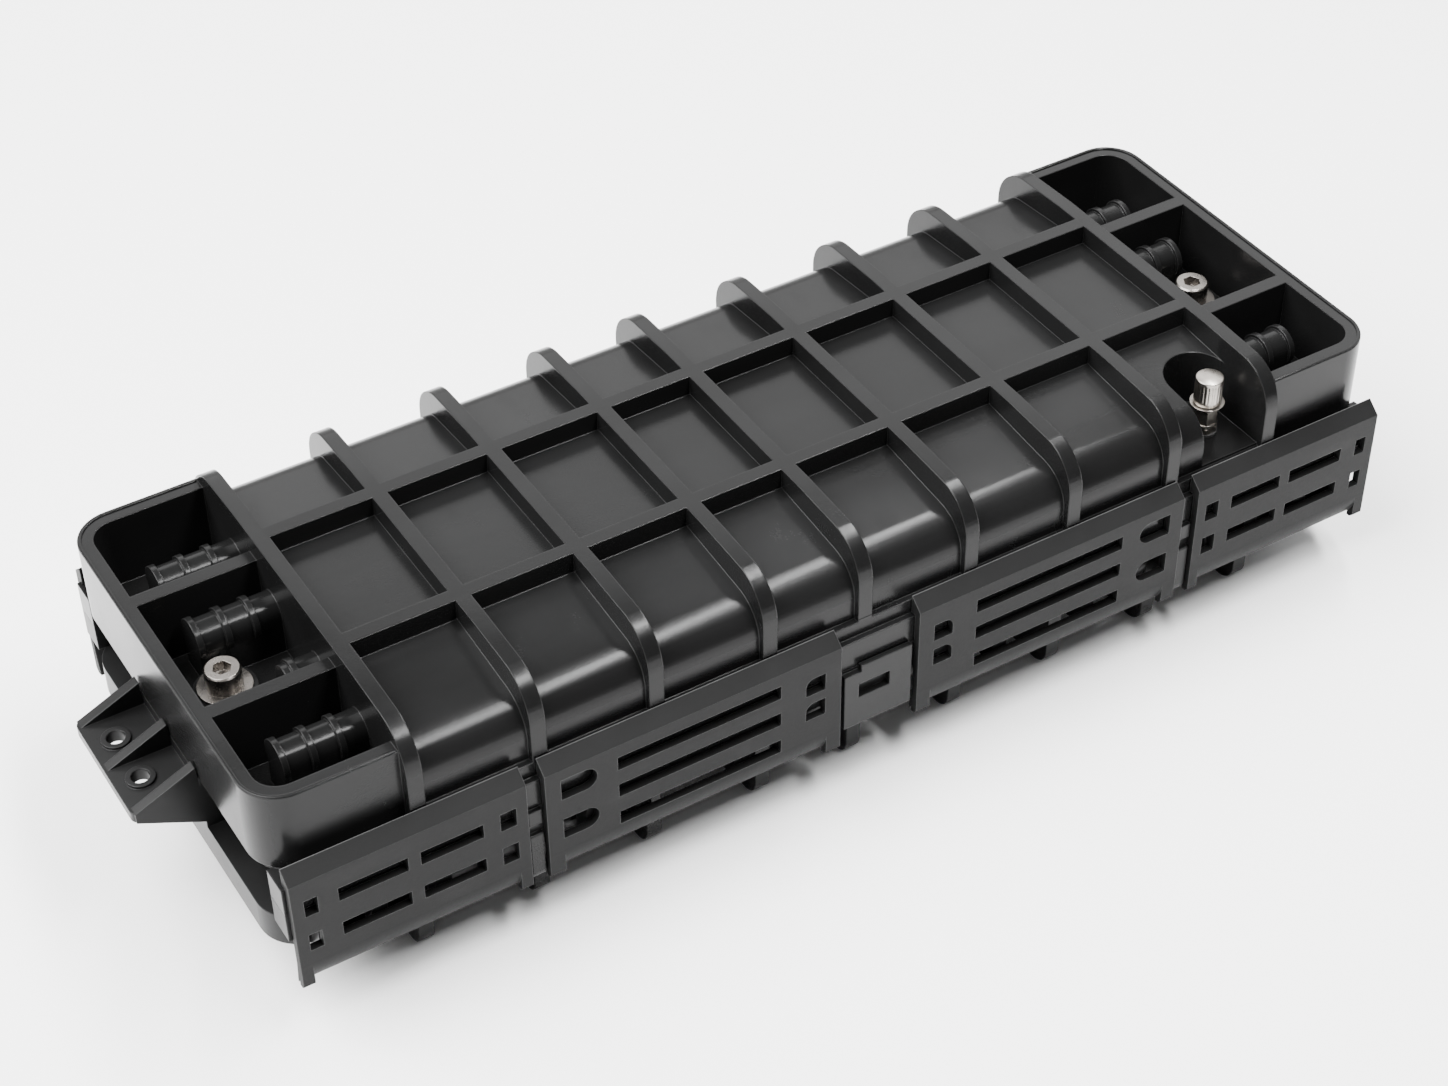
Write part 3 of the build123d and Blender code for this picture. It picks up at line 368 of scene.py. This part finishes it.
# %% [markdown]
# The strap is woven. Two sets of waves at right angles cross like warp and weft, and their product
# is high where a thread of one lies over a thread of the other.

# %% Woven strap
thread_scale = 320.0
strap_cloth = begin("strap_cloth")
warp, weft = (Wire.node("ShaderNodeTexWave", {"bands_direction": direction},
                        {"Vector": place(), "Scale": thread_scale}, out="Fac")
              for direction in ("X", "Y"))
weave = warp * weft
finish("strap_cloth", {"Sheen Weight": 0.3}, {
    "Base Color": mixed(weave, shade(0.05), shade(0.12)), "Roughness": 0.8 - weave * 0.1,
    "Normal": bumped(weave, 0.5, 0.0003, rounded(0.0003))})

# %% [markdown]
# ## Materials onto the solids
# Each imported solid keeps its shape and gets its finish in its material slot. The names of the
# nodes say what each is made of, so one table does the work. The first row that fits counts.

# %% Assign the finishes
FINISHES = (
    ("upper_housing", cover_plastic), ("lower_housing", base_plastic), ("latch_pins", steel),
    ("latch_", latch_plastic), ("gasket_", rubber), ("port_plug_", rubber),
    ("valve_washer", rubber), ("valve_", nickel), ("cover_bolts", steel),
    ("bolt_washers", steel), ("carrier_screws", steel), ("clamp_screws", steel),
    ("cable_clamp_", steel), ("strength_anchors", brass), ("threaded_inserts", brass),
    ("tray_carrier", steel), ("tray_lid", lid_plastic), ("tray_strap", strap_cloth),
    ("splice_tray_", tray_plastic), ("splice_comb_", comb_plastic))


def put_on(piece, material):
    """Fills the piece's material slots with one material."""
    if not piece.material_slots:
        piece.data.materials.append(material)
    for slot in piece.material_slots:
        slot.material = material


for name, node in nodes.items():
    put_on(node, next(material for start, material in FINISHES if name.startswith(start)))
print("finished", len(nodes), "nodes")

# %% [markdown]
# ## Modelling by hand, in code
# Each new piece starts as a primitive and is shaped in edit mode, as it would be by hand. An
# operator works on what is selected, so every step first picks its faces or edges by their place
# or normal.


# %% Selecting
def clear_selection():
    """Leaves edit mode and deselects everything."""
    if bpy.context.mode != "OBJECT":
        bpy.ops.object.mode_set(mode="OBJECT")
    bpy.ops.object.select_all(action="DESELECT")


def choose(piece):
    """Makes the piece the active one, and selects nothing else."""
    clear_selection()
    bpy.context.view_layer.objects.active = piece
    piece.select_set(True)


def into_edit(piece):
    choose(piece)
    bpy.ops.object.mode_set(mode="EDIT")


def pick(piece, test, kind="FACE"):
    """Selects the faces, edges or vertices that pass the test, in edit mode."""
    bpy.ops.mesh.select_mode(type=kind)
    bpy.ops.mesh.select_all(action="DESELECT")
    mesh = bmesh.from_edit_mesh(piece.data)
    parts = {"FACE": mesh.faces, "EDGE": mesh.edges, "VERT": mesh.verts}[kind]
    for part in parts:
        if test(part):
            part.select_set(True)
    mesh.select_flush_mode()
    bmesh.update_edit_mesh(piece.data)


print("selection helpers ready")


# %% Naming, modifiers and completion
def named(name):
    """Names the primitive just added and moves its place into its mesh."""
    piece = bpy.context.object
    piece.name = piece.data.name = name
    bpy.ops.object.transform_apply(location=True, rotation=True, scale=True)
    return piece


def add_modifier(piece, kind, **settings):
    """Adds a modifier to the piece and applies it."""
    choose(piece)
    modifier = piece.modifiers.new(kind.lower(), kind)
    for key, value in settings.items():
        setattr(modifier, key, value)
    bpy.ops.object.modifier_apply(modifier=modifier.name)


def soften(piece, width, segments=2, sharper_than=40.0):
    """Rounds every edge whose faces meet at more than an angle."""
    add_modifier(piece, "BEVEL", width=width, segments=segments, limit_method="ANGLE",
                 angle_limit=math.radians(sharper_than))


def complete(piece, material, body, angle=35.0):
    """Smooths the piece, dresses it and lets it ride on its body."""
    choose(piece)
    bpy.ops.object.shade_smooth_by_angle(angle=math.radians(angle))
    put_on(piece, material)
    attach(piece, body)
    print("piece", piece.name, "faces", len(piece.data.polygons))


print("piece helpers ready")

# %% [markdown]
# ## The cover's shoulders and rib tips
# On the real cover the roof leaves the long ribs at only about five degrees, rolls over a fat
# shoulder and drops to the flange, and the tips of the ribs follow that roll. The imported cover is
# plainer and steeper there. Its mesh is copied and its loose triangles are merged. Two blocks fill
# the shoulders, and two bars round the rib tips. Boolean modifiers do both, so it stays one
# moulding.

# %% Shoulder numbers
cover_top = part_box("upper_housing")[1].z
roof_start = Vector((0.0, 31.5 * MM, 98.0 * MM))
roof_fall = math.radians(5.0)
roof_half = 177.0 * MM
wall_face = 82.0 * MM
wall_foot = 69.0 * MM
shoulder_roll = 14.0 * MM
tip_face = 84.5 * MM
tip_roll = 16.5 * MM
print("cover top", round(cover_top / MM, 1), "mm")


# %% Blocks for the Boolean modifiers
def block(name, low, high):
    """A block between two corners."""
    low, high = Vector(low), Vector(high)
    clear_selection()
    bpy.ops.mesh.primitive_cube_add(size=1.0, location=(low + high) / 2)
    bpy.context.object.scale = high - low
    return named(name)


def cut(piece, point, normal):
    """Takes off what lies on the side of a plane that its normal points to, and closes the cut."""
    into_edit(piece)
    bpy.ops.mesh.select_all(action="SELECT")
    bpy.ops.mesh.bisect(plane_co=point, plane_no=normal, use_fill=True, clear_outer=True)


def boolean(piece, other, operation):
    """Joins or cuts the piece with another one, which is then deleted."""
    add_modifier(piece, "BOOLEAN", object=other, operation=operation, solver="EXACT")
    bpy.data.objects.remove(other)


print("block helpers ready")

# %% [markdown]
# The roll is a bevel on one long edge of a block: the one where its roof meets its outer wall. The
# bevel tool asks for a width and not a radius, so the width is worked out from the angle between
# the two faces.

# %% Rolling one edge
edge_slack = 0.1 * MM
edge_floor = 80 * MM


def roll_edge(piece, face_y, radius, corner):
    """Rounds the upper long edge of the wall at face_y. corner is the angle inside the block."""
    def is_upper_edge(edge):
        start, end = (vertex.co for vertex in edge.verts)
        return abs(start.x - end.x) > roof_half and all(
            at.y > face_y - edge_slack and at.z > edge_floor for at in (start, end))

    pick(piece, is_upper_edge, "EDGE")
    bpy.ops.mesh.bevel(offset=radius / math.tan(corner / 2), segments=14, affect="EDGES")


print("roll helper ready")


# %% [markdown]
# The shoulder block lies along the back of the crown. Its roof falls by five degrees, and its
# underside is cut on a slope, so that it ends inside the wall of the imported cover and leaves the
# hollow below it free.

# %% Shoulder block
def falling(angle):
    """The normal of a roof that falls towards the back by an angle."""
    return Vector((0.0, math.sin(angle), math.cos(angle)))


under_start = Vector((0.0, 36.0 * MM, 95.5 * MM))
under_normal = Vector((0.0, -0.50, -0.866))
shoulder = block("shoulder_block", (-roof_half, roof_start.y, wall_foot),
                 (roof_half, wall_face, cover_top))
cut(shoulder, roof_start, falling(roof_fall))
cut(shoulder, under_start, under_normal)
roll_edge(shoulder, wall_face, shoulder_roll, math.pi / 2 + roof_fall)
clear_selection()
print("shoulder block", [round(v / MM, 1) for v in shoulder.dimensions])

# %% [markdown]
# The front shoulder is the same block, turned round by half a turn. The turn goes into the copy's
# own mesh, because the object of a finished piece stays at the origin.


# %% Front shoulder
def copied(piece, name, move):
    """A copy with its own mesh, moved by a matrix in its mesh."""
    twin = piece.copy()
    twin.data = piece.data.copy()
    twin.name = twin.data.name = name
    twin.parent = None
    bpy.context.scene.collection.objects.link(twin)
    twin.data.transform(move)
    return twin


half_turn = Matrix.Rotation(math.pi, 4, "Z")
shoulder_front = copied(shoulder, "shoulder_front", half_turn)
print("front shoulder faces", len(shoulder_front.data.polygons))

# %% [markdown]
# The front shoulder leaves room for the valve. The pocket is a round well with a channel to the
# front, so a cylinder and a block are taken out of the shoulder block before it joins the cover.

# %% Valve well in the front shoulder
well_centre = Vector((161.1 * MM, -60.0 * MM, 90.0 * MM))
well_radius = 13.0 * MM
well_depth = 60 * MM
channel_low = Vector((well_centre.x - well_radius, -95 * MM, 60 * MM))
channel_high = Vector((roof_half + 1 * MM, well_centre.y, 120 * MM))
clear_selection()
bpy.ops.mesh.primitive_cylinder_add(vertices=64, radius=well_radius, depth=well_depth,
                                    location=well_centre)
well = named("well_cutter")
channel = block("channel_cutter", channel_low, channel_high)
boolean(shoulder_front, well, "DIFFERENCE")
boolean(shoulder_front, channel, "DIFFERENCE")
print("front shoulder with its well, faces", len(shoulder_front.data.polygons))

# %% [markdown]
# The rib tips are turned by a cutter that is the opposite of the rib's outline: a bar with a long
# hollow in the shape of a rolled block. One bar serves the back, its half turn serves the front.

# %% Rib tip cutter
tip_fall = math.radians(2.5)
tip_start = Vector((0.0, 45.0 * MM, cover_top))
form_half, form_foot, form_spare = 200 * MM, 40 * MM, 5 * MM
bar_half, bar_foot, bar_back, bar_top = 180.5 * MM, 73 * MM, 95 * MM, 112 * MM
tip_form = block("tip_form", (-form_half, 0.0, form_foot),
                 (form_half, tip_face, cover_top + form_spare))
cut(tip_form, tip_start, falling(tip_fall))
roll_edge(tip_form, tip_face, tip_roll, math.pi / 2 + tip_fall)
tip_cutter = block("tip_cutter", (-bar_half, tip_start.y, bar_foot), (bar_half, bar_back, bar_top))
boolean(tip_cutter, tip_form, "DIFFERENCE")
tip_cutter_front = copied(tip_cutter, "tip_cutter_front", half_turn)
print("tip cutter faces", len(tip_cutter.data.polygons))

# %% [markdown]
# The front inner barrels stop short of the bolts, so that the washers lie free, as the photograph
# shows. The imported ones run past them, and two small blocks take the difference away.

# %% Barrel cutters
barrel_end = 193.0 * MM
barrel_y, barrel_z = -18.3 * MM, 84.0 * MM
barrel_reach = 8.3 * MM
barrel_half = 10 * MM
barrel_cutters = [block(f"barrel_cutter_{side}",
                        (middle - barrel_half, barrel_y - barrel_reach, barrel_z - barrel_reach),
                        (middle + barrel_half, barrel_y + barrel_reach, barrel_z + barrel_reach))
                  for side, middle in (("left", -barrel_end - barrel_half),
                                       ("right", barrel_end + barrel_half))]
print("barrel cutters", len(barrel_cutters))

# %% [markdown]
# Now the copy of the cover takes in the blocks. Its triangles share no corners at first, so they
# are merged by distance. The normals that came with them would keep the old shading, so they are
# cleared. Moving the vertices by hand would be quicker, but a long thin triangle can't follow a
# roll.

# %% One moulding
ribbed_cover = copied(nodes["upper_housing"], "ribbed_cover", Matrix.Identity(4))
into_edit(ribbed_cover)
bpy.ops.mesh.select_all(action="SELECT")
bpy.ops.mesh.remove_doubles(threshold=0.002 * MM)
bpy.ops.object.mode_set(mode="OBJECT")
bpy.ops.mesh.customdata_custom_splitnormals_clear()
for filler in (shoulder, shoulder_front):
    boolean(ribbed_cover, filler, "UNION")
for cutter in (tip_cutter, tip_cutter_front, *barrel_cutters):
    boolean(ribbed_cover, cutter, "DIFFERENCE")
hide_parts("upper_housing")
complete(ribbed_cover, cover_plastic, "closure", 30.0)

# %% [markdown]
# ## Valve cap
# The real cap is a turned thimble with a faint knurl for the fingers, a chamfered rim and a bored
# underside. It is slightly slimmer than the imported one. A cylinder of 48 sides is cut into bands
# by bisecting, and every second side of the middle band is pressed in by a tenth of a millimetre.

# %% Valve cap, blank
cap_low, cap_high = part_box("valve_cap")
cap_centre = (cap_low + cap_high) / 2
cap_radius = 5.3 * MM
cap_sides = 48
plain_below, plain_above = 1.8 * MM, 1.6 * MM
clear_selection()
bpy.ops.mesh.primitive_cylinder_add(vertices=cap_sides, radius=cap_radius,
                                    depth=cap_high.z - cap_low.z, location=cap_centre)
valve_cap = named("knurled_valve_cap")
into_edit(valve_cap)
for level in (cap_low.z + plain_below, cap_high.z - plain_above):
    bpy.ops.mesh.select_all(action="SELECT")
    bpy.ops.mesh.bisect(plane_co=(0, 0, level), plane_no=(0, 0, 1))
print("cap height", round((cap_high.z - cap_low.z) / MM, 1), "mm")

# %% Valve cap, knurl
band_margin = 2.0 * MM
flute_margin, flute_depth = 0.06 * MM, 0.10 * MM


def is_flute(face):
    """True for every second side of the middle band."""
    middle = face.calc_center_median()
    turn = math.atan2(middle.y - cap_centre.y, middle.x - cap_centre.x) / math.tau
    return (abs(face.normal.z) < 0.5 and int((turn * cap_sides) % cap_sides) % 2 == 0
            and cap_low.z + band_margin < middle.z < cap_high.z - band_margin)


pick(valve_cap, is_flute)
bpy.ops.mesh.inset(thickness=flute_margin, depth=-flute_depth, use_individual=True)
print("knurl", cap_sides // 2, "flutes")

# %% [markdown]
# The top rim gets a chamfer, and the underside is inset and pushed up to make the bore, which
# shows when the cap is lifted.

# %% Valve cap, ends
chamfer = 0.5 * MM
bore_radius, bore_depth = 4.0 * MM, 8.0 * MM
smallest_end = 20 * MM * MM
pick(valve_cap, lambda e: all(v.co.z > cap_high.z - edge_slack for v in e.verts), "EDGE")
bpy.ops.mesh.bevel(offset=chamfer, segments=2, affect="EDGES")
pick(valve_cap, lambda f: f.normal.z < -0.9 and f.calc_area() > smallest_end)
bpy.ops.mesh.inset(thickness=cap_radius - bore_radius)
bpy.ops.mesh.extrude_region_move(TRANSFORM_OT_translate={"value": (0, 0, bore_depth)})
soften(valve_cap, 0.16 * MM)
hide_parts("valve_cap")
complete(valve_cap, nickel, "valve_cap")

# %% [markdown]
# ## Valve thread
# The stem under the cap carries a fine thread, seen when the cap is lifted. A three-sided profile
# is swept along a helix by the Screw modifier, and its two ends are closed. Stacked rings would be
# quicker, but a thread climbs.

# %% Valve thread
thread_profile = 0.30 * MM
thread_pitch = 0.8 * MM
thread_turns = 8
thread_steps = 28
thread_radius = 3.72 * MM
thread_start = cap_low.z + 0.6 * MM
clear_selection()
bpy.ops.mesh.primitive_circle_add(vertices=3, radius=thread_profile, fill_type="NOTHING",
                                  rotation=(math.radians(90.0), 0.0, 0.0))
valve_thread = named("valve_thread")
into_edit(valve_thread)
bpy.ops.mesh.select_all(action="SELECT")
bpy.ops.transform.translate(value=(thread_radius, 0.0, 0.0))
add_modifier(valve_thread, "SCREW", angle=math.tau, screw_offset=thread_pitch,
             iterations=thread_turns, steps=thread_steps, render_steps=thread_steps)
into_edit(valve_thread)
bpy.ops.mesh.select_all(action="SELECT")
bpy.ops.transform.translate(value=(valve_axis.x, valve_axis.y, thread_start))
bpy.ops.mesh.fill_holes(sides=3)
bpy.ops.mesh.select_all(action="SELECT")
bpy.ops.mesh.normals_make_consistent(inside=False)
complete(valve_thread, nickel, "closure")

# %% [markdown]
# ## Rim beads of the end frames
# Each end frame carries a thin raised bead along the outer edge of its rim, which shows in the
# photograph as a bright line. It stands a tenth of a millimetre inside the wall, because two faces
# in one plane would flicker. A plane the size of the frame gets its two outer corners rounded and
# is inset to a narrow ring, and the run that would cross the rib is cut off before the ring is
# raised.

# %% Rim bead, outline
bead_x = 229.9 * MM
bead_y = 80.4 * MM
rim_level = 98.0 * MM
rib_face = 180.4 * MM
past_rib = 20 * MM
corner_round = 15.0 * MM
clear_selection()
bpy.ops.mesh.primitive_plane_add(
    size=1.0, location=((bead_x + rib_face) / 2 - past_rib / 2, 0, rim_level))
bpy.context.object.scale = (bead_x - rib_face + past_rib, 2 * bead_y, 1.0)
rim_bead_right = named("rim_bead_right")
into_edit(rim_bead_right)
pick(rim_bead_right, lambda v: v.co.x > rib_face, "VERT")
bpy.ops.mesh.bevel(offset=corner_round, segments=10, affect="VERTICES")
print("rim outline corners", len(bmesh.from_edit_mesh(rim_bead_right.data).verts))

# %% Rim beads
bead_width = 1.4 * MM
bead_height = 0.5 * MM
pick(rim_bead_right, lambda f: True)
bpy.ops.mesh.inset(thickness=bead_width)
bpy.ops.mesh.delete(type="FACE")
bpy.ops.mesh.select_all(action="SELECT")
bpy.ops.mesh.bisect(plane_co=(rib_face, 0, 0), plane_no=(1, 0, 0), clear_inner=True)
bpy.ops.mesh.select_all(action="SELECT")
bpy.ops.mesh.extrude_region_move(TRANSFORM_OT_translate={"value": (0, 0, bead_height)})
bpy.ops.mesh.select_all(action="SELECT")
bpy.ops.mesh.normals_make_consistent(inside=False)
soften(rim_bead_right, 0.2 * MM, 3, 50.0)
rim_bead_left = copied(rim_bead_right, "rim_bead_left", half_turn)
for bead in (rim_bead_right, rim_bead_left):
    complete(bead, cover_plastic, "closure")

# %% [markdown]
# ## Rings on the port plugs
# A blank plug for a cable port has stepped rings on its face, where an installer cuts it to the
# cable, and a small nub in the middle. A disc is inset and pushed in and out ring by ring.

# %% Port plug face
plug_low, plug_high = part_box("port_plug_right_front")
plug_centre = (plug_low + plug_high) / 2
plug_radius = (plug_high.y - plug_low.y) / 2
disc_margin, disc_sink, disc_depth = 0.6 * MM, 0.05 * MM, 0.8 * MM
ring_steps = ((1.4, 0.0), (0.3, -0.5), (1.5, 0.0), (0.3, 0.5), (1.4, 0.0), (0.3, -0.5),
              (1.6, 0.0), (0.3, 1.1))
clear_selection()
bpy.ops.mesh.primitive_cylinder_add(
    vertices=64, radius=plug_radius - disc_margin, depth=disc_depth,
    location=(plug_high.x + disc_depth / 2 - disc_sink, plug_centre.y, plug_centre.z),
    rotation=(0.0, math.radians(90.0), 0.0))
plug_face = named("plug_face_right_front")
into_edit(plug_face)
pick(plug_face, lambda f: f.normal.x > 0.9)
for width, depth in ring_steps:
    bpy.ops.mesh.inset(thickness=width * MM, depth=depth * MM)
soften(plug_face, 0.15 * MM)
print("plug face", round(2 * (plug_radius - disc_margin) / MM, 1), "mm across")

# %% Copies for the four ports
shift_back = Matrix.Translation((0.0, -2.0 * plug_centre.y, 0.0))
plug_faces = [plug_face,
              copied(plug_face, "plug_face_right_back", shift_back),
              copied(plug_face, "plug_face_left_back", half_turn),
              copied(plug_face, "plug_face_left_front", half_turn @ shift_back)]
for face_piece in plug_faces:
    complete(face_piece, rubber, "closure")

# %% [markdown]
# ## Floor
# The closure stands on a wide pale sheet. It isn't part of the object.

# %% Floor
floor_size = 30.0
floor_finish = begin("floor_sheet")
mottle = noise(place(), 3.0, 2.0)
finish("floor_sheet", {"IOR": 1.3}, {
    "Base Color": mixed(mottle, shade(0.90), shade(0.92)), "Roughness": 0.75 - mottle * 0.05})
clear_selection()
bpy.ops.mesh.primitive_plane_add(size=floor_size, location=(0.0, 0.0, 0.0))
floor = named("floor_sheet")
put_on(floor, floor_finish)
print("floor", floor_size, "m wide")

# %% [markdown]
# ## Close

# %% Leave edit mode
clear_selection()
